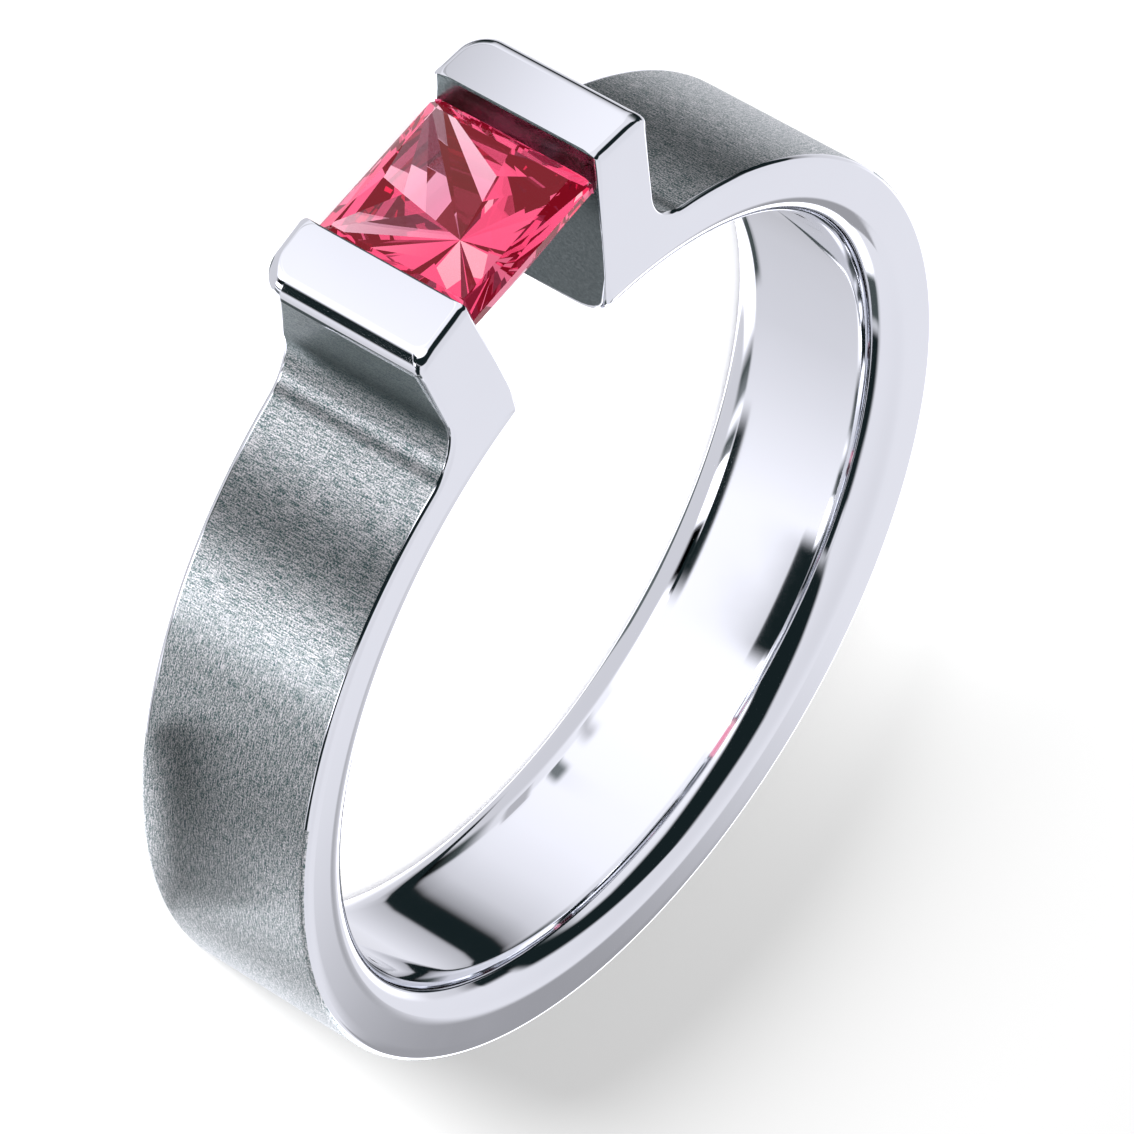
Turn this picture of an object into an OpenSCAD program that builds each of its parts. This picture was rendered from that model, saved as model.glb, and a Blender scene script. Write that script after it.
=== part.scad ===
// Ring with a square cut stone clamped between two blocks, in millimetres.
// The ring lies on one side face: Z is the ring's axis, Y points from the
// finger hole's centre to the head, and X goes across the gap between the blocks.

/* [Band] */
// Diameter of the finger hole
finger_d = 17.2; // [16.8:0.1:17.6]
// Width of the band along the finger
band_w = 4.2; // [4.1:0.05:4.6]
// Wall beside the head, where the band is thinnest
wall_head = 1.4; // [1.3:0.05:1.6]
// Wall opposite the head, where the band is thickest
wall_base = 1.7; // [1.6:0.05:2.2]
// Rounding of the finger hole's two edges, for comfort
bore_edge_r = 0.6; // [0.3:0.05:0.7]

/* [Head] */
// Height of the blocks' gap edges above the wall of the finger hole
head_rise = 4.4; // [4.3:0.05:4.6]
// Angle from the middle plane to each gap face; both planes run through the hole's axis
gap_angle = 8.6; // [8.5:0.05:8.7]
// Thickness of a block, square to its gap face
block_t = 1.55; // [1.35:0.05:1.7]
// Rounding of a block's top edge on the band's side
block_top_r = 0.4; // [0.2:0.05:0.6]
// Rounding of a block's two top ends
block_end_r = 0.22; // [0.1:0.02:0.3]
// How far the rear end of a block has drawn in at its top
block_taper = 0.2; // [0.1:0.02:0.24]
// Rounding of a block's rear outer corner at its top; it fades out towards the band
rear_corner_r = 0.8; // [0.3:0.05:0.9]
// Hollow fillet from a block down to the band
root_r = 1.2; // [0.8:0.1:1.4]
// Rounding where a gap face meets the finger hole
gap_edge_r = 0.25; // [0.1:0.05:0.35]

/* [Stone] */
// Side of the square girdle
stone_side = 3.84; // [3.8:0.01:3.86]
// How much of each side is cut away at the stone's corners
stone_cut = 0.16; // [0.14:0.01:0.2]
// Middle of the girdle below the blocks' gap edges
stone_drop = 0.9; // [0.88:0.01:0.95]
// Thickness of the girdle
girdle_t = 0.18; // [0.1:0.01:0.22]
// Height of the crown above the girdle
crown_h = 0.24; // [0.2:0.02:0.34]
// Depth of the pavilion below the girdle
pavilion_h = 2.1; // [1.8:0.05:2.3]
// Side of the table as a share of the girdle's side
table_share = 0.83; // [0.74:0.01:0.85]
// Play between the stone and its seats in the blocks
seat_gap = 0.04; // [0.03:0.01:0.05]

/* [Hidden] */
$fn = 180;
// How far a cutter runs past the faces that it cuts
past = 1;
bore_r = finger_d / 2;
outer_r = bore_r + (wall_head + wall_base) / 2;
outer_shift = (wall_base - wall_head) / 2;
half_w = band_w / 2;
head_y = bore_r + head_rise;

// A block has its own frame: U runs up its gap face, V out through its thickness
block_top_u = head_y / cos(gap_angle);
block_foot_u = bore_r + wall_head / 2;
ring_v = outer_shift * sin(gap_angle);
ring_u = -outer_shift * cos(gap_angle);

// The root fillet touches the block's outer face and the band's outer circle
root_v = block_t + root_r;
root_u = ring_u + sqrt(pow(outer_r + root_r, 2) - pow(root_v - ring_v, 2));
root_share = outer_r / (outer_r + root_r);
root_end = [ring_v + root_share * (root_v - ring_v), ring_u + root_share * (root_u - ring_u)];

// The block's rear end starts to draw in just above the band's own surface
taper_u = outer_r - outer_shift + 0.02;
taper_a = atan(block_taper / (block_top_u - taper_u));
end_u = block_top_u - block_end_r;
end_z = half_w - (block_end_r + (end_u - taper_u) * sin(taper_a)) / cos(taper_a);

// The cone that rounds a rear outer corner starts where the root fillet ends
corner_z = -half_w + (root_u - taper_u) * tan(taper_a);
corner_slope = rear_corner_r * cos(taper_a) / (block_top_u - root_u);
corner_tilt = atan(corner_slope * sqrt(2));

// The rounding between a gap face and the finger hole touches both
gap_edge_u = sqrt(pow(bore_r + gap_edge_r, 2) - pow(gap_edge_r, 2));
gap_touch = bore_r / (bore_r + gap_edge_r) * [gap_edge_r, gap_edge_u];

stone_r = stone_side / 2;
girdle_y = head_y - stone_drop;
girdle_top = girdle_y + girdle_t / 2;
girdle_base = girdle_y - girdle_t / 2;
table_y = girdle_top + crown_h;
culet_y = girdle_base - pavilion_h;
// Middle of each side of the crown: share of the half side, share of the crown's height
CROWN_MIDDLE = [0.93, 0.52];
// Bends of each side's middle rib on the pavilion: share of the half side, share of its depth
PAVILION_BENDS = [[0.88, 0.22], [0.66, 0.45], [0.4, 0.68]];
BENDS = len(PAVILION_BENDS);

// A block and its hollow root fillet seen along Z, in the block's own frame; it reaches
// a little into the gap, to be cut off there
module block_outline() {
    difference() {
        polygon([
            [-gap_edge_r, block_foot_u],
            [root_end[0], block_foot_u],
            root_end,
            [root_v, root_u],
            [block_t, root_u],
            [block_t, block_top_u - block_top_r],
            [block_t - block_top_r, block_top_u],
            [-gap_edge_r, block_top_u]
        ]);
        translate([root_v, root_u])
            circle(root_r);
    }
    translate([block_t - block_top_r, block_top_u - block_top_r])
        circle(block_top_r);
}

// What the rounding takes from the corner of a gap face and the finger hole
module gap_edge_outline() {
    difference() {
        polygon([
            [-past, gap_edge_u],
            [0, gap_edge_u],
            gap_touch,
            [gap_touch[0], bore_r - past],
            [-past, bore_r - past]
        ]);
        translate([gap_edge_r, gap_edge_u])
            circle(gap_edge_r);
    }
}

// The band seen along Z, with both blocks, and with the gap that runs to the hole's axis
module band_outline() {
    reach = 2 * head_y;
    difference() {
        union() {
            translate([0, -outer_shift])
                circle(outer_r);
            for (side = [0, 1])
                mirror([side, 0])
                    rotate(-gap_angle)
                        block_outline();
        }
        polygon([
            [0, 0],
            reach * [-sin(gap_angle), cos(gap_angle)],
            reach * [sin(gap_angle), cos(gap_angle)]
        ]);
        for (side = [0, 1])
            mirror([side, 0])
                rotate(-gap_angle)
                    gap_edge_outline();
    }
}

// What is cut from a block's two ends, with Z to the right and U up: the front end is
// straight and the rear one leans in, and both have a rounded top
module end_outline() {
    low_z = half_w + past * tan(taper_a);
    front_z = half_w - block_end_r;
    touch = [-end_z, end_u] + block_end_r * [-cos(taper_a), sin(taper_a)];
    difference() {
        translate([-half_w - past, taper_u])
            square([band_w + 2 * past, block_top_u - taper_u + past]);
        polygon([
            [-low_z, taper_u - past],
            [half_w + 2 * past, taper_u - past],
            [half_w + 2 * past, end_u],
            [front_z, end_u],
            [front_z, block_top_u],
            [-end_z, block_top_u],
            touch
        ]);
        for (z = [-end_z, front_z])
            translate([z, end_u])
                circle(block_end_r);
    }
}

// What the rounding takes from a block's rear outer corner, in the block's own frame: a
// quarter round the axis of a cone that touches the block's outer face and its rear end
module corner_cut() {
    reach = 2 * (block_top_u - root_u);
    translate([block_t, root_u, corner_z])
        rotate([taper_a - 90, 0, 0])
            rotate(corner_tilt, [1, -1, 0])
                difference() {
                    cube([past, past, reach]);
                    cylinder(h = reach, r1 = 0, r2 = reach * tan(asin(sin(corner_tilt) / sqrt(2))));
                }
}

// The finger hole with its two rounded edges, turned as one piece
module finger_hole() {
    wall = half_w - bore_edge_r;
    rotate_extrude()
        difference() {
            translate([0, -half_w - past])
                square([bore_r + bore_edge_r, band_w + 2 * past]);
            translate([bore_r, -wall])
                square([bore_edge_r + past, 2 * wall]);
            for (side = [-1, 1])
                translate([bore_r + bore_edge_r, side * wall])
                    circle(bore_edge_r);
        }
}

// The seat that holds the girdle in both gap faces, closed at its two ends like the
// stone's cut corners; its section along Z, and its outline seen from above
module seat() {
    side = stone_r + seat_gap;
    cut = stone_cut + seat_gap * (2 - sqrt(2));
    bend = PAVILION_BENDS[0];
    high = [stone_r * CROWN_MIDDLE[0], girdle_top + crown_h * CROWN_MIDDLE[1]] + seat_gap * [1, 1];
    low = [stone_r * bend[0], girdle_base - pavilion_h * bend[1]] + seat_gap * [1, -1];
    intersection() {
        linear_extrude(2 * side, center = true)
            polygon([
                [-side, girdle_top + seat_gap],
                [-high[0], high[1]],
                high,
                [side, girdle_top + seat_gap],
                [side, girdle_base - seat_gap],
                low,
                [-low[0], low[1]],
                [-side, girdle_base - seat_gap]
            ]);
        translate([0, head_y, 0])
            rotate([90, 0, 0])
                linear_extrude(head_y - low[1] + past)
                    polygon(cut_square(side, cut));
    }
}

module band() {
    color([0.66, 0.68, 0.7])
        difference() {
            linear_extrude(band_w, center = true)
                band_outline();
            finger_hole();
            seat();
            for (side = [0, 1])
                mirror([side, 0, 0])
                    rotate([0, 0, -gap_angle])
                        translate([block_t / 2, 0, 0])
                            rotate([0, -90, 0])
                                linear_extrude(block_t + 2 * root_r, center = true)
                                    end_outline();
            for (side = [0, 1])
                mirror([side, 0, 0])
                    rotate([0, 0, -gap_angle])
                        corner_cut();
        }
}

// A square of half side r with its corners cut by c, two points at each corner
function cut_square(r, c) = [
    [-r, c - r], [c - r, -r],
    [r - c, -r], [r, c - r],
    [r, r - c], [r - c, r],
    [c - r, r], [-r, r - c]
];

// The stone's outline at height y
function outline(y) = [for (p = cut_square(stone_r, stone_cut)) [p[0], y, p[1]]];

// Four corners of a square of half side r at height y, round the stone's axis
function corners(r, y) = [[-r, y, -r], [r, y, -r], [r, y, r], [-r, y, r]];

// The middles of the four sides of such a square
function middles(r, y) = [[0, y, -r], [r, y, 0], [0, y, r], [-r, y, 0]];

// Table, crown, girdle and pavilion; from below, the pavilion's facets fan out from
// the corners to the bends of each side's middle rib, in nested chevrons
module stone() {
    points = concat(
        corners(stone_r * table_share, table_y),
        middles(stone_r * CROWN_MIDDLE[0], girdle_top + crown_h * CROWN_MIDDLE[1]),
        outline(girdle_top),
        outline(girdle_base),
        [for (b = PAVILION_BENDS) each middles(stone_r * b[0], girdle_base - pavilion_h * b[1])],
        [[0, culet_y, 0]]
    );
    crown = 4;
    upper = 8;
    lower = 16;
    rib = 24;
    last_rib = rib + 4 * (BENDS - 1);
    culet = rib + 4 * BENDS;
    faces = concat(
        [[0, 1, 2, 3]],
        [for (i = [0:3]) let (j = (i + 1) % 4, a = 2 * i, b = a + 1, c = 2 * j) each [
            [j, i, crown + i],
            [i, upper + b, crown + i],
            [j, crown + i, upper + c],
            [upper + b, upper + c, crown + i],
            [i, upper + a, upper + b],
            [upper + c, upper + b, lower + b, lower + c],
            [upper + b, upper + a, lower + a, lower + b],
            [lower + c, lower + b, rib + i],
            [lower + b, lower + a, culet],
            [lower + b, culet, last_rib + i],
            [lower + c, last_rib + i, culet]
        ]],
        [for (i = [0:3]) for (k = [0:BENDS - 2])
            let (b = 2 * i + 1, c = 2 * ((i + 1) % 4), near = rib + 4 * k + i) each [
                [lower + b, near + 4, near],
                [lower + c, near, near + 4]
            ]]
    );
    color([0.86, 0.16, 0.34])
        polyhedron(points, faces);
}

band();
stone();
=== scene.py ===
import math

import bmesh
import bpy
from mathutils import Matrix, Vector


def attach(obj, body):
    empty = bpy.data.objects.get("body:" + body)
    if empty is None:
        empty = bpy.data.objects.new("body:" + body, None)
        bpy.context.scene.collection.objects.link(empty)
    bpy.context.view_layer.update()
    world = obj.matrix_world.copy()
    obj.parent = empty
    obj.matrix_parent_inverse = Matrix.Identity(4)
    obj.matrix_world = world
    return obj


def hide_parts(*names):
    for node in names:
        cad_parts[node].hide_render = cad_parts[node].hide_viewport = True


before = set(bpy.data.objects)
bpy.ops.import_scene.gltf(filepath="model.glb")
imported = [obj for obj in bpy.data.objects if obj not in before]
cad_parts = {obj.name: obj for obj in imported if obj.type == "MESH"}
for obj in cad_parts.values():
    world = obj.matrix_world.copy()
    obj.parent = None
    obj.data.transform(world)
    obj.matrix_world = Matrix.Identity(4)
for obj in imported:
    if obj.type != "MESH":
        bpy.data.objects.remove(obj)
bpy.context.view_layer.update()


# The camera stands close to the head and looks down across the ring. It is turned so that
# the ring, which lies on its side face, seems to stand on its edge.
camera_data = bpy.data.cameras.new("camera")
camera_data.sensor_width = 36
camera_data.lens = 212.89
camera_data.clip_start = 0.001
camera = bpy.data.objects.new("camera", camera_data)
camera.location = (-0.0484644, 0.1114679, 0.0588646)
camera.rotation_mode = "QUATERNION"
camera.rotation_quaternion = (0.803885, -0.396258, -0.355166, -0.265717)
bpy.context.scene.collection.objects.link(camera)
bpy.context.scene.camera = camera
bpy.context.scene.view_settings.view_transform = "Standard"


# The band is turned from one piece of steel: the finger hole and its comfort edges are
# polished, and so are the flat sides and the blocks' tops. The outside is brushed, round
# the shank and across the shoulders, and the gap's two faces are left satin. On the blocks'
# outsides and on the gap's faces the steel's colour is darkened: painted shade.
MM = 0.001
# All sizes here are in millimetres. One half is made with its gap face upright: v runs
# away from that face, u up to the head, and z along the finger hole.
BORE_R = 8.6
HALF_W = 2.1
# The finger hole's comfort edge, across the side face and along the hole
BORE_EDGE_R = 0.6
BORE_EDGE_LONG = 0.85
# The outside is a circle with its centre nearer the base, and its edge is rounded
OUTER_R = 10.149
OUTER_SHIFT = 0.15
EDGE_HEAD = 0.12
EDGE_BASE = 0.2
# The gap faces lean apart, with a small rounding where they meet the finger hole
GAP_ANGLE = math.radians(8.6)
GAP_EDGE_R = 0.16
# The blocks' thickness, the hollow fillet at their foot, and their tops' height
BLOCK_T = 1.55
ROOT_R = 1.2
TOP_Y = 13.0
TOP_U = TOP_Y / math.cos(GAP_ANGLE)
# A block's rear end is drawn in, from nothing at TAPER_U to REAR_DRAW at its top
REAR_DRAW = 0.2
TAPER_U = 10.02
TAPER = REAR_DRAW / (TOP_U - TAPER_U)
# Roundings of a block's top, on the gap's side, at its two ends and on the band's side
TOP_ROUNDS = (0.04, 0.22, 0.4)
# Roundings of the block's upright corners at its foot, under its top and round its flat:
# gap front, outer front, gap rear, outer rear
CORNERS_FOOT = (0.04, 0.12, 0.04, 0.12)
CORNERS_HIGH = (0.1, 0.22, 0.16, 0.66)
CORNERS_FLAT = (0.16, 0.25, 0.28, 0.48)

# Steps across each flat strip of a section, and angles round each of its quarter turns
FLAT = 4
ARC = 10
QUARTER = [k * math.pi / 2 / ARC for k in range(ARC + 1)]

ring_v = OUTER_SHIFT * math.sin(GAP_ANGLE)
ring_u = -OUTER_SHIFT * math.cos(GAP_ANGLE)
root_v = BLOCK_T + ROOT_R
root_u = ring_u + math.sqrt((OUTER_R + ROOT_R) ** 2 - (root_v - ring_v) ** 2)
root_turn = math.atan2(root_v - ring_v, root_u - ring_u)
wall_z = HALF_W - BORE_EDGE_LONG
comfort_r = BORE_R + BORE_EDGE_R


def mix(a, b, share):
    return a + (b - a) * share


def blend(first, second, share):
    return tuple(mix(a, b, share) for a, b in zip(first, second))


def on_bore(turn, a):
    """A point of the finger hole's wall and comfort edge, a quarter turn from wall to side."""
    r = comfort_r - BORE_EDGE_R * math.cos(a)
    return (r * math.sin(turn), r * math.cos(turn), wall_z + BORE_EDGE_LONG * math.sin(a))


def half_section(inner, outer, normal, edge):
    """Half of a section, from the middle of the inner wall to the middle of the outer one.
    The inner quarter turn comes ready made, and the outer one has edge as its radius."""
    v, u, z = inner[0]
    points = [(v, u, z * k / FLAT) for k in range(FLAT)] + inner
    side = inner[-1]
    start = (outer[0] - normal[0] * edge, outer[1] - normal[1] * edge)
    for k in range(1, FLAT + 1):
        share = k / (FLAT + 1)
        points.append((mix(side[0], start[0], share), mix(side[1], start[1], share), HALF_W))
    for a in QUARTER:
        inset = edge * (1 - math.sin(a))
        points.append((outer[0] - normal[0] * inset, outer[1] - normal[1] * inset,
                       HALF_W - edge * (1 - math.cos(a))))
    for k in range(1, FLAT + 1):
        points.append((outer[0], outer[1], (HALF_W - edge) * (1 - k / FLAT)))
    return points


def whole_section(front, rear):
    return front + [(v, u, -z) for v, u, z in rear[-2::-1]]


def block_section(gap_v, outer_v, high, ends, corners, drops):
    """A level section of a block. High is its top height; drops are how far below it the
    gap side, the ends and the band's side lie."""
    halves = []
    for gap_corner, outer_corner in (corners[:2], corners[2:]):
        points = [(gap_v, high - drops[0], (ends - gap_corner) * k / FLAT) for k in range(FLAT)]
        for k, a in enumerate(QUARTER):
            points.append((gap_v + gap_corner * (1 - math.cos(a)),
                           high - mix(drops[0], drops[1], k / ARC),
                           ends - gap_corner * (1 - math.sin(a))))
        for k in range(1, FLAT + 1):
            points.append((mix(gap_v + gap_corner, outer_v - outer_corner, k / (FLAT + 1)),
                           high - drops[1], ends))
        for k, a in enumerate(QUARTER):
            points.append((outer_v - outer_corner * (1 - math.sin(a)),
                           high - mix(drops[1], drops[2], k / ARC),
                           ends - outer_corner * (1 - math.cos(a))))
        for k in range(1, FLAT + 1):
            points.append((outer_v, high - drops[2], (ends - outer_corner) * (1 - k / FLAT)))
        halves.append(points)
    return whole_section(*halves)


def on_fillet(share):
    a = mix(root_turn, math.pi / 2, share)
    normal = (math.sin(a), math.cos(a))
    return (root_v - ROOT_R * normal[0], root_u - ROOT_R * normal[1]), normal


# Sections round the shank, from the base to the foot of the fillet
rings = []
SHANK_STEPS = 110
for k in range(SHANK_STEPS + 1):
    share = k / SHANK_STEPS
    a = mix(math.pi - GAP_ANGLE, root_turn, share)
    normal = (math.sin(a), math.cos(a))
    outer = (ring_v + OUTER_R * normal[0], ring_u + OUTER_R * normal[1])
    turn = math.atan2(*outer) if k else math.pi - GAP_ANGLE
    inner = [on_bore(turn, a) for a in QUARTER]
    half = half_section(inner, outer, normal, mix(EDGE_BASE, EDGE_HEAD, share))
    rings.append(whole_section(half, half))

# Along the fillet, while the inner wall turns from the finger hole into the gap
HOLE_STEPS, EDGE_STEPS, NOTCH_STEPS, GAP_STEPS = 12, 5, 6, 5
FILLET_STEPS = HOLE_STEPS + EDGE_STEPS + NOTCH_STEPS + GAP_STEPS
# The comfort edge's arc, and how far past it, as a share of it, the section's inner end
# moves in the edge steps and in the notch steps
RISE = BORE_EDGE_R * math.pi / 2
EDGE_REACH, NOTCH_REACH = 0.12, 0.38
# The height over which the rounding between gap and hole narrows to that of the gap's side
EDGE_FADE = 0.7
foot_turn = math.atan2(*on_fillet(0)[0])
last_turn = math.asin(GAP_EDGE_R / BORE_R)
way_up = 1 + (root_u - comfort_r) / RISE


def on_gap_edge(way, a):
    """The rounding between the gap and the finger hole, and on along the gap's side edge.
    Way is 0 on the hole's wall, 1 on the side face, and grows up the block; a turns from
    the hole's or side's surface into the gap's."""
    turn = min(way, 1) * math.pi / 2
    level = max(0, way - 1) * RISE
    radius = mix(GAP_EDGE_R, CORNERS_FOOT[0], min(1, level / EDGE_FADE))
    into = radius * (1 - math.cos(a))
    _, u, z = on_bore(0, turn)
    return (radius * (1 - math.sin(a)), u + level + into * math.cos(turn),
            z - into * math.sin(turn))


for k in range(1, FILLET_STEPS + 1):
    outer, normal = on_fillet(k / FILLET_STEPS)
    edge_share = min(1, (k - HOLE_STEPS) / EDGE_STEPS)
    notch_share = min(1, max(0, (k - HOLE_STEPS - EDGE_STEPS) / NOTCH_STEPS))
    gap_share = max(0, (k - FILLET_STEPS + GAP_STEPS) / GAP_STEPS)
    if k <= HOLE_STEPS:
        turn = mix(foot_turn, last_turn, k / HOLE_STEPS)
        inner = [on_bore(turn, a) for a in QUARTER]
    else:
        reach = 1 + EDGE_REACH * edge_share + NOTCH_REACH * notch_share
        first = mix(notch_share, way_up, gap_share)
        last = mix(reach, way_up, gap_share)
        inner = [on_gap_edge(mix(first, last, j / ARC),
                             edge_share * math.pi / 2 * (1 - j / ARC)) for j in range(ARC + 1)]
    half = half_section(inner, outer, normal, EDGE_HEAD)
    rings.append(whole_section(half, half))

# Up the block, to a little below its rounded top, and over that
BLOCK_STEPS = 10
TOP_STEPS = 9
high_u = TOP_U - TOP_ROUNDS[2] - 0.03
for k in range(1, BLOCK_STEPS + 1):
    share = k / BLOCK_STEPS
    corners = blend(CORNERS_FOOT, CORNERS_HIGH, share)
    level = mix(root_u, high_u, share)
    rings.append(block_section(0, BLOCK_T, level, HALF_W, corners, (0, 0, 0)))
for k in range(TOP_STEPS + 1):
    a = k * math.pi / 2 / TOP_STEPS
    gap_inset, end_inset, outer_inset = [r * (1 - math.cos(a)) for r in TOP_ROUNDS]
    drops = [r * (1 - math.sin(a)) for r in TOP_ROUNDS]
    corners = blend(CORNERS_HIGH, CORNERS_FLAT, 1 - math.cos(a))
    rings.append(block_section(gap_inset, BLOCK_T - outer_inset, TOP_U, HALF_W - end_inset,
                               corners, drops))


def drawn_in(v, u, z):
    return (v, u, z * (1 - max(0, u - TAPER_U) * TAPER / HALF_W) if z < 0 else z)


rings = [[drawn_in(*point) for point in ring] for ring in rings]

# A sheet of squares is wrapped round the sections, one half is mirrored to make the other,
# and the blocks' flats are filled in. Each point keeps its way along the outside from the
# base, for the strokes of the brush.
BRUSHED, POLISHED, SATIN = range(3)
# The brush also takes half of the outer edge's rounding, except near the head
EDGE_BRUSHED_RINGS = 81
brushed_rings = SHANK_STEPS + FILLET_STEPS + BLOCK_STEPS
gap_rings = SHANK_STEPS + HOLE_STEPS + EDGE_STEPS
along = len(rings) - 1
across = len(rings[0]) - 1
stretch = [0.0]
for lower, upper in zip(rings, rings[1:]):
    stretch.append(stretch[-1] + math.dist(lower[across // 2], upper[across // 2]))

bm = bmesh.new()
bmesh.ops.create_grid(bm, x_segments=along, y_segments=across, size=1)
run_layer = bm.verts.layers.float.new("run")
square = {vert: (round((vert.co.x + 1) / 2 * along), round((vert.co.y + 1) / 2 * across))
          for vert in bm.verts}
for face in bm.faces:
    i = min(square[vert][0] for vert in face.verts)
    from_middle = abs(min(square[vert][1] for vert in face.verts) + 0.5 - across / 2)
    brushed_width = FLAT + ARC // 2 if i < EDGE_BRUSHED_RINGS else FLAT
    face.smooth = True
    face.material_index = POLISHED
    if from_middle < brushed_width and i < brushed_rings:
        face.material_index = BRUSHED
    elif from_middle > across / 2 - FLAT and i >= gap_rings:
        face.material_index = SATIN
lean = Matrix.Rotation(-GAP_ANGLE, 3, "Z")
for vert, (i, j) in square.items():
    vert.co = lean @ Vector(rings[i][j])
    vert[run_layer] = stretch[i]
bmesh.ops.remove_doubles(bm, verts=bm.verts, dist=1e-5)
bmesh.ops.mirror(bm, geom=bm.verts[:] + bm.edges[:] + bm.faces[:], matrix=Matrix(),
                 merge_dist=1e-4, axis="X")
for vert in bm.verts:
    if vert.co.x < 0:
        vert[run_layer] *= -1
rims = [edge for edge in bm.edges if edge.is_boundary]
for face in bmesh.ops.holes_fill(bm, edges=rims, sides=0)["faces"]:
    face.material_index = POLISHED
    face.smooth = True
bmesh.ops.recalc_face_normals(bm, faces=bm.faces)
bmesh.ops.scale(bm, vec=(MM, MM, MM), verts=bm.verts)


def add_object(bm, name):
    mesh = bpy.data.meshes.new(name)
    bm.to_mesh(mesh)
    bm.free()
    added = bpy.data.objects.new(name, mesh)
    bpy.context.scene.collection.objects.link(added)
    return added


def new_material(name):
    material = bpy.data.materials.new(name)
    material.use_nodes = True
    return material, material.node_tree


band = add_object(bm, "ring_band")
brushed, brushed_tree = new_material("brushed_steel")
polished, polished_tree = new_material("polished_steel")
satin, satin_tree = new_material("satin_steel_painted_shade")
for material in (brushed, polished, satin):
    band.data.materials.append(material)

# The seats are cut with the stone's own shape, a hair wider and opened up by a fifth above
# and below its girdle
GIRDLE_Y = 12.1
SEAT_SCALE = (1.0208, 1.2, 1.0208)
bm = bmesh.new()
bm.from_mesh(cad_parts["stone"].data)
bmesh.ops.remove_doubles(bm, verts=bm.verts, dist=1e-7)
bmesh.ops.scale(bm, vec=SEAT_SCALE, verts=bm.verts,
                space=Matrix.Translation((0, -GIRDLE_Y * MM, 0)))
for face in bm.faces:
    face.material_index = POLISHED
seat_cutter = add_object(bm, "seat_cutter")
cut = band.modifiers.new("seats", "BOOLEAN")
cut.object = seat_cutter
cut.operation = "DIFFERENCE"
cut.solver = "EXACT"
normals = band.modifiers.new("normals", "WEIGHTED_NORMAL")
normals.keep_sharp = True
graph = bpy.context.evaluated_depsgraph_get()
cut_mesh = bpy.data.meshes.new_from_object(band.evaluated_get(graph))
band.modifiers.clear()
band.data = cut_mesh
bpy.data.objects.remove(seat_cutter)


class Shade:
    """A shader's value; arithmetic on it adds Math nodes, and node() adds any other."""

    def __init__(self, tree, socket):
        self.tree = tree
        self.socket = socket

    @staticmethod
    def plug(tree, target, value):
        if isinstance(value, Shade):
            tree.links.new(value.socket, target)
        else:
            target.default_value = value

    @classmethod
    def node(cls, tree, kind, settings=None, output=0, **sockets):
        """Sockets go by name, with _ for a space, or by place, as i0, i1 and so on."""
        made = tree.nodes.new(kind)
        for name, value in (settings or {}).items():
            if name == "stops":
                ramp = made.color_ramp
                while len(ramp.elements) > 1:
                    ramp.elements.remove(ramp.elements[-1])
                for index, (place, colour) in enumerate(value):
                    stop = ramp.elements.new(place) if index else ramp.elements[0]
                    stop.position = place
                    stop.color = colour
            else:
                setattr(made, name, value)
        for name, value in sockets.items():
            by_place = name[0] == "i" and name[1:].isdigit()
            key = int(name[1:]) if by_place else name.replace("_", " ")
            cls.plug(tree, made.inputs[key], value)
        return cls(tree, made.outputs[output])

    def beside(self, output):
        """Another output of the node that this one comes from."""
        return Shade(self.tree, self.socket.node.outputs[output])

    def maths(self, operation, *values):
        sockets = {f"i{index}": value for index, value in enumerate(values)}
        return self.node(self.tree, "ShaderNodeMath", {"operation": operation}, **sockets)

    def __add__(self, other):
        return self.maths("ADD", self, other)

    __radd__ = __add__

    def __sub__(self, other):
        return self.maths("SUBTRACT", self, other)

    def __rsub__(self, other):
        return self.maths("SUBTRACT", other, self)

    def __mul__(self, other):
        return self.maths("MULTIPLY", self, other)

    __rmul__ = __mul__

    def smooth(self, low, high):
        """0 below low, 1 above high, with a soft step between them."""
        return self.node(self.tree, "ShaderNodeMapRange", {"interpolation_type": "SMOOTHSTEP"},
                         Value=self, From_Min=low, From_Max=high)

    def tint(self, first, second):
        """Colour first where this is 0, second where it is 1."""
        return self.node(self.tree, "ShaderNodeMix", {"data_type": "RGBA"}, 2,
                         i0=self, i6=first, i7=second)


def dress(tree, **sockets):
    """Sets or links sockets of a material's Principled shader."""
    shader = tree.nodes["Principled BSDF"]
    for name, value in sockets.items():
        Shade.plug(tree, shader.inputs[name.replace("_", " ")], value)


def noise(tree, place, scale, detail, roughness=0.5):
    return Shade.node(tree, "ShaderNodeTexNoise", {}, "Fac",
                      Vector=place, Scale=scale, Detail=detail, Roughness=roughness)


# Fine strokes run round the shank and turn across it near the blocks. The places are
# millimetres from the base, along the outside.
STROKES_TURN = (22.5, 24.5)
FILLET_FROM = (27.2, 28.2)
FILLET_TO = (29.4, 30.4)
# From here up to the blocks the brushed steel takes darker colours, a painted shade.
PAINTED_SHADE_FROM = (28.7, 29.3)
# Long strokes and short ones: cells per millimetre along and across, seed and share
ROUND_STROKES = ((4, 32, 0.0, 0.4), (23, 36, 7.0, 0.6))
CROSS_STROKES = ((32, 3, 3.0, 0.4), (36, 23, 5.0, 0.6))
# From the strokes' hollows to their crests: levels of the grain, and colours. The second
# pair is darker, a painted shade for the fillet's top and the blocks' outsides.
HOLLOW_TO_CREST = (0.40, 0.62)
BRIGHT_STEEL = ((0.10, 0.17, 0.165, 1), (0.93, 0.91, 0.91, 1))
PAINTED_SHADE_STEEL = ((0.08, 0.12, 0.12, 1), (0.33, 0.37, 0.37, 1))
tree = brushed_tree
spot = Shade.node(tree, "ShaderNodeTexCoord", output="Object")
spot_z = Shade.node(tree, "ShaderNodeSeparateXYZ", output="Z", Vector=spot) * (1 / MM)
run = Shade.node(tree, "ShaderNodeAttribute", {"attribute_name": "run"}, "Fac")
far_run = run.maths("ABSOLUTE", run)


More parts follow.
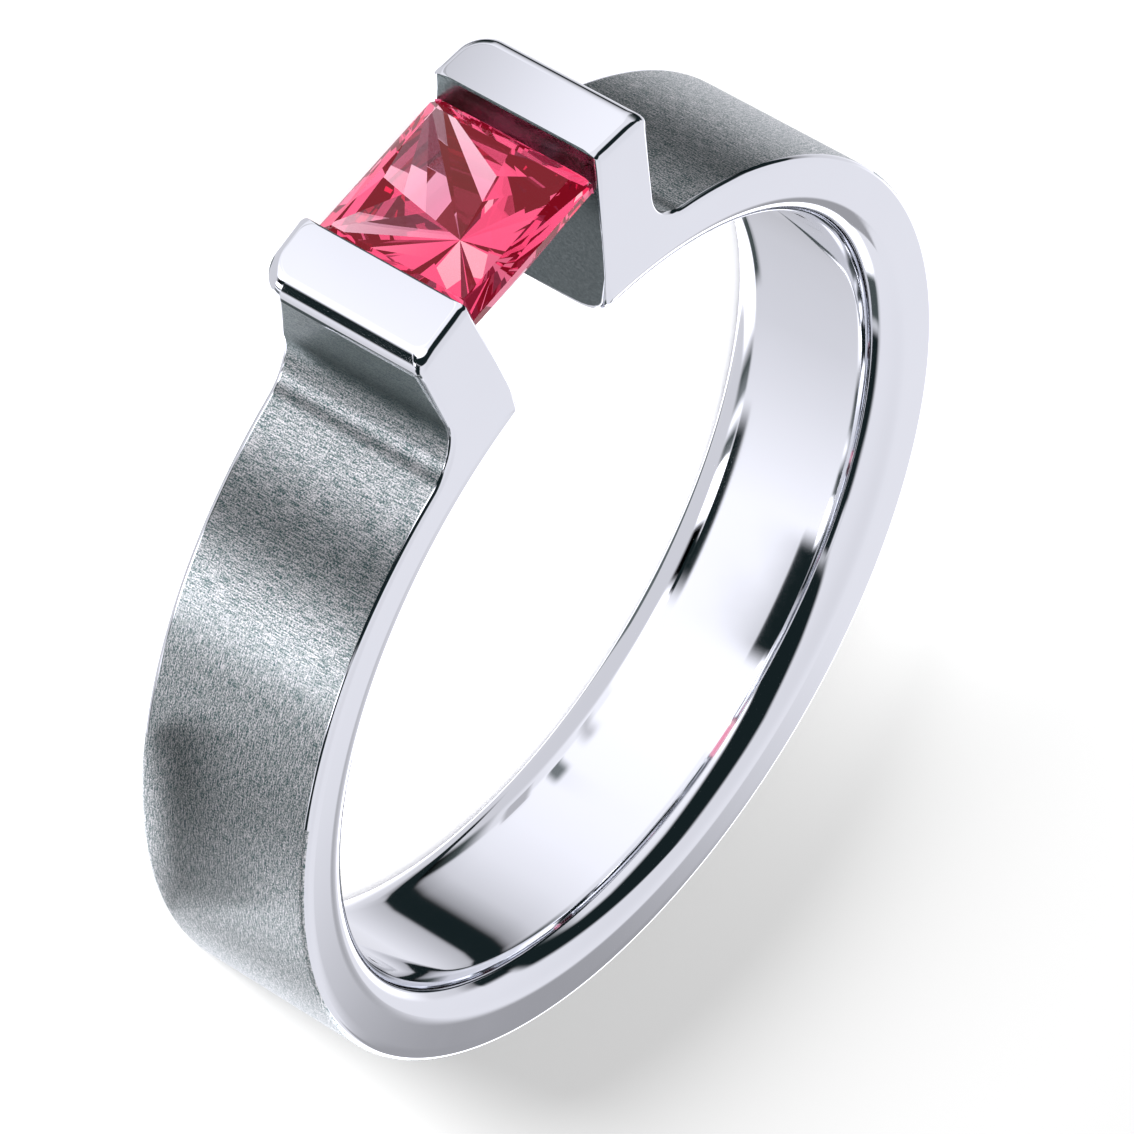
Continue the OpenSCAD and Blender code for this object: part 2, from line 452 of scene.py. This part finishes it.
def strokes(kinds):
    parts = []
    for cells_along, cells_across, seed, share in kinds:
        place = Shade.node(tree, "ShaderNodeCombineXYZ",
                           X=run * cells_along, Y=spot_z * cells_across, Z=seed)
        parts.append(noise(tree, place, 1.0, 2.0, 0.6) * share)
    return parts[0] + parts[1]


round_strokes = strokes(ROUND_STROKES)
cross_strokes = strokes(CROSS_STROKES)
grain = round_strokes + far_run.smooth(*STROKES_TURN) * (cross_strokes - round_strokes)
crest = grain.smooth(*HOLLOW_TO_CREST)
# Painted shade: past the fillet the grain's colours turn to the darker pair.
colour = far_run.smooth(*PAINTED_SHADE_FROM).tint(crest.tint(*BRIGHT_STEEL), crest.tint(*PAINTED_SHADE_STEEL))
fillet = far_run.smooth(*FILLET_FROM) * (1 - far_run.smooth(*FILLET_TO))
dress(tree, Metallic=1, Anisotropic=0.85, Anisotropic_Rotation=0.25, Base_Color=colour,
      Roughness=noise(tree, spot, 700.0, 3.0) * 0.08 + fillet * 0.07 + 0.33,
      Normal=Shade.node(tree, "ShaderNodeBump", {}, "Normal",
                        Strength=0.3, Distance=0.00001, Height=grain))

POLISHED_STEEL = ((0.76, 0.77, 0.80, 1), (0.80, 0.81, 0.84, 1))
tree = polished_tree
haze = noise(tree, Shade.node(tree, "ShaderNodeTexCoord", output="Object"), 260.0, 4.0)
dress(tree, Metallic=1, Base_Color=haze.tint(*POLISHED_STEEL),
      Roughness=haze.smooth(0.3, 0.8) * 0.04 + 0.03)

# The gap faces' colour lies far below steel's own, a painted shade in the gap between the
# blocks; the frost's flecks in it are the steel's own.
SATIN_AND_SHADE_STEEL = ((0.04, 0.06, 0.06, 1), (0.17, 0.19, 0.19, 1))
tree = satin_tree
frost = noise(tree, Shade.node(tree, "ShaderNodeTexCoord", output="Object"), 16000.0, 2.0)
dress(tree, Metallic=1, Base_Color=frost.tint(*SATIN_AND_SHADE_STEEL), Roughness=frost * 0.1 + 0.15,
      Normal=Shade.node(tree, "ShaderNodeBump", {}, "Normal",
                        Strength=0.1, Distance=0.00002, Height=frost))

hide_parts("band")
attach(band, "root")


# The stone is a square cut pink sapphire with a flat table, clamped by its girdle between
# the two blocks. The solid's own facets show, and the colour deepens with the light's way
# through it.
SAPPHIRE_IOR = 1.77
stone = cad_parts["stone"]
stone_glass, tree = new_material("pink_sapphire")
# A faint red emission paints a glow into the stone, which is no lamp.
dress(tree, Base_Color=(1.0, 0.90, 0.94, 1), Transmission_Weight=1, IOR=SAPPHIRE_IOR,
      Roughness=0, Emission_Color=(1.0, 0.04, 0.13, 1), Emission_Strength=0.035)
Shade.plug(tree, tree.nodes["Material Output"].inputs["Volume"],
           Shade.node(tree, "ShaderNodeVolumeAbsorption", {}, "Volume",
                      Color=(0.96, 0.02, 0.38, 1), Density=430.0))
for slot in stone.material_slots:
    slot.material = stone_glass


# The ring lies on a wide sheet of pale paper. The sheet shows neither in the polish nor
# through the stone, which see the tent alone.
FLOOR_HALF = 0.6


def paper(name, colour):
    material, tree = new_material(name)
    dress(tree, Base_Color=colour, Roughness=0.9, Specular_IOR_Level=0)
    return material


bm = bmesh.new()
bmesh.ops.create_grid(bm, x_segments=1, y_segments=1, size=FLOOR_HALF,
                      matrix=Matrix.Translation((0, 0, -HALF_W * MM)))
floor = add_object(bm, "floor")
floor.data.materials.append(paper("pale_paper", (0.9, 0.9, 0.9, 1)))
floor.visible_glossy = False
floor.visible_transmission = False


# Round the ring hangs a pale studio tent with dark openings, which the steel mirrors.
# Through the stone a plainer tent shows, and the sheet and the backdrop get plain light.
SHEET_LIGHT = (0.66, 0.66, 0.66, 1)
BACKDROP = (0.88, 0.88, 0.88, 1)
DARK = (0.010, 0.018, 0.020, 1)
world = bpy.data.worlds.new("tent")
world.use_nodes = True
world.cycles.sampling_method = "NONE"
bpy.context.scene.world = world
tree = world.node_tree
# Where a ray goes: its turn from over the head towards the near block, and its height
# above the floor, both in degrees
way = Shade.node(tree, "ShaderNodeTexCoord", output="Generated")
way_x = Shade.node(tree, "ShaderNodeSeparateXYZ", output="X", Vector=way)
way_z = way_x.beside("Z")
turn = way_x.maths("ARCTAN2", way_x * -1, way_x.beside("Y")) * math.degrees(1)
height = way_z.maths("ARCSINE", way_z) * math.degrees(1)


def window(turns, heights, soft_turn, soft_height):
    """1 inside a patch of the tent, with soft borders."""
    across = turn.smooth(turns[0] - soft_turn, turns[0] + soft_turn) * (
        1 - turn.smooth(turns[1] - soft_turn, turns[1] + soft_turn))
    return across * height.smooth(heights[0] - soft_height, heights[0] + soft_height) * (
        1 - height.smooth(heights[1] - soft_height, heights[1] + soft_height))


def grey(level):
    """Light of the tent: teal where it is dark, faintly violet where it is bright."""
    share = min(1, level / 0.4)
    red, green, blue = blend((0.70, 0.95, 0.95), (0.965, 0.965, 1.03), share)
    return (level * red, level * green, level * blue, 1)


def round_ramp(stops):
    """Colours round the ring's axis: pairs of a turn and a colour."""
    stops = [((t + 180) / 360, colour) for t, colour in stops]
    return Shade.node(tree, "ShaderNodeValToRGB", {"stops": stops}, "Color",
                      Fac=(turn + 180) * (1 / 360))


def round_light(stops):
    """Greys round the ring's axis: pairs of a turn and a level."""
    return round_ramp([(t, grey(level)) for t, level in stops])


def round_height(stops):
    """A height that changes round the ring's axis: pairs of a turn and a height."""
    return (round_ramp([(t, [(h + 90) / 180] * 3 + [1]) for t, h in stops]) - 0.5) * 180


# Beside the ring, columns of light and dark, which the brushed outside smears into bands
columns = round_light([
    (-180, 3.2), (-158, 2.6), (-138, 1.6), (-122, 0.9), (-110, 0.8), (-98, 0.0), (-88, 0.0),
    (-84, 0.02), (-72, 0.1), (-66, 0.35), (-56, 0.95), (0, 1.2), (14, 2.0), (28, 3.0),
    (34, 1.8), (40, 0.0), (56, 0.0), (60, 2.6), (63, 6.6), (75, 7.0), (80, 0.3), (86, 0.1),
    (94, 1.8), (101, 0.3), (112, 0.1), (119, 0.7), (126, 1.7), (136, 2.7), (144, 3.4),
    (156, 3.4), (168, 3.0), (180, 3.2)])
# A strip between the columns, which the finger hole's wall mirrors
strip = round_light([
    (-180, 0.65), (-150, 0.8), (-125, 1.0), (-116, 0.85), (-108, 0.68), (-104, 0.6),
    (-98.5, 0.01), (-89, 0.01), (-85, 0.4), (-75, 0.8), (-60, 1.05), (-45, 1.2),
    (-32, 1.25), (0, 1.35), (65, 1.3), (85, 1.12), (104, 0.97), (125, 0.85), (145, 0.81),
    (163, 0.76), (180, 0.65)])
roof = height.smooth(20, 80).tint(grey(0.98), grey(0.9))
light = height.smooth(-50, -42).tint(grey(0.8), columns)
light = height.smooth(-34, -30).tint(light, strip)
light = height.smooth(-20, -16).tint(light, columns)
light = height.smooth(8, 16).tint(light, roof)

# Over the shank's far end hangs a dark bar, whose ends slope down to both sides
bar_low = round_height([
    (-96, -9), (-82, -7), (-72, 4), (-60, 13), (-48, 17), (-24, 18), (-10, 15), (6, 11),
    (18, 5), (30, -6), (40, -14), (60, -16)])
bar_high = round_height([
    (-96, 24), (-84, 28), (-72, 38), (-60, 50), (-48, 62), (0, 64), (14, 62), (28, 53),
    (42, 43), (54, 30), (66, 14)])
bar = height.smooth(bar_low - 4, bar_low + 4) * (1 - height.smooth(bar_high - 6, bar_high + 6))
bar = bar * turn.smooth(-92, -84) * (1 - turn.smooth(56, 68))
light = bar.tint(light, DARK)

PATCHES = (
    # The tent's openings and grey cloths: turns, heights, soft_turn, soft_height, colour
    ((60, 136), (-14, 14), 5, 4, DARK),
    ((136, 158), (-15, 14), 4, 3, grey(0.1)),
    ((-102, -89), (-60, 14), 1, 4, DARK),
    ((-175, -163), (-22, -8), 2, 3, grey(0.05)),
    ((-180, -157.6), (12, 25.6), 2.4, 1.2, grey(0.42)),
    ((-183, -150), (-79, -54), 4, 4, grey(0.17)),
    # Low ones, which the blocks' flats and roundings, the stone's table and the shank's
    # edges mirror
    ((-50, -38), (-40, -28.3), 2, 1.2, grey(0.6)),
    ((-14, -9), (-40, -26), 3, 1, grey(0.72)),
    ((-29, -23), (-31, -25.5), 2, 1, grey(0.25)),
    ((36, 90), (-30.7, -26.4), 7, 0.4, DARK),
    ((34, 52), (-36, -30.4), 2, 0.6, DARK),
    ((30, 66), (-23.9, -12), 4, 0.35, DARK),
    ((140, 172), (-30.6, -26.9), 5, 0.4, grey(0.1)),
)
for turns, heights, soft_turn, soft_height, colour in PATCHES:
    light = window(turns, heights, soft_turn, soft_height).tint(light, colour)

# The stone's tent has dark windows and a few small bright ones
WINE = (0.14, 0.05, 0.03, 1)
GLINT = (1.3, 5.0, 2.6, 1)
STONE_WINDOWS = (
    ((161, 169), (-26, -8), WINE),
    ((158.5, 163), (-10, 3), WINE),
    ((-190, -175), (-8, 1), WINE),
    ((-170, -164), (4, 10.5), WINE),
    ((-95, -60), (2, 24), WINE),
    ((45, 70), (5, 25), WINE),
    ((14, 19), (-19, -13), GLINT),
    ((-15, -9), (13, 19), GLINT),
    ((34, 39), (13, 19), GLINT),
)
clear = height.smooth(-70, -30).tint((0.7, 0.6, 0.6, 1), (1.15, 1.15, 1.15, 1))
for turns, heights, colour in STONE_WINDOWS:
    clear = window(turns, heights, 1, 1).tint(clear, colour)


def shine(colour):
    return Shade.node(tree, "ShaderNodeBackground", {}, "Background", Color=colour)


def choose(which, first, second):
    """The first light where which is 0, the second where it is 1."""
    return Shade.node(tree, "ShaderNodeMixShader", {}, "Shader", i0=which, i1=first, i2=second)


camera_ray = Shade.node(tree, "ShaderNodeLightPath", output="Is Camera Ray")
in_stone = camera_ray.beside("Transmission Depth").smooth(0.2, 0.8)
plain = camera_ray.maths("MAXIMUM", camera_ray, camera_ray.beside("Is Diffuse Ray"))
tree.nodes.remove(tree.nodes["Background"])
Shade.plug(tree, tree.nodes["World Output"].inputs["Surface"],
           choose(plain, choose(in_stone, shine(light), shine(clear)),
                  shine(camera_ray.tint(SHEET_LIGHT, BACKDROP))))


# A strip of black card lies just under the sheet along the ring's left side: a painted
# shade, standing in for the contact shade at the ring's foot in the steel's reflection.
# Only the steel mirrors it, as a darker rear edge, and it throws no shadow.
CARD_R = (10.6, 12.8)
CARD_Z = -HALF_W - 0.05
CARD_FROM = math.radians(66)
CARD_TURN = math.radians(34)
bm = bmesh.new()
ends = [bm.verts.new((-r * math.sin(CARD_FROM), r * math.cos(CARD_FROM), CARD_Z))
        for r in CARD_R]
bmesh.ops.spin(bm, geom=ends + [bm.edges.new(ends)], axis=(0, 0, 1), angle=CARD_TURN, steps=24)
bmesh.ops.scale(bm, vec=(MM, MM, MM), verts=bm.verts)
card = add_object(bm, "mirrored_shade_card")
card.data.materials.append(paper("mirrored_shade_paper", (0.01, 0.015, 0.015, 1)))
card.visible_camera = False
card.visible_diffuse = False
card.visible_transmission = False
card.visible_shadow = False


# A low lamp beyond the head throws the ring's shadow. A small one in the finger hole keeps
# the sheet white there, and another over the sheet at the right fades the shadow's end.
UP = Vector((0, 0, 1))
KEY_WAY = Vector((-0.34, 0.94, 0.195))
LAMPS = (
    # name, size, energy, place, and the way back from what it lights
    ("key", 0.06, 3.4, KEY_WAY * 0.3, KEY_WAY),
    ("fill", 0.015, 0.0014, Vector((0, -0.0005, 0.0015)), UP),
    ("side_fill", 0.013, 0.0007, Vector((0.0170, -0.0165, 0.0045)), UP),
)
for name, size, energy, place, way_back in LAMPS:
    lamp_data = bpy.data.lights.new(name, "AREA")
    lamp_data.shape = "DISK"
    lamp_data.size = size
    lamp_data.energy = energy
    lamp = bpy.data.objects.new(name, lamp_data)
    lamp.location = place
    lamp.rotation_mode = "QUATERNION"
    lamp.rotation_quaternion = way_back.to_track_quat("Z", "Y")
    lamp.visible_camera = False
    lamp.visible_glossy = False
    lamp.visible_transmission = False
    bpy.context.scene.collection.objects.link(lamp)
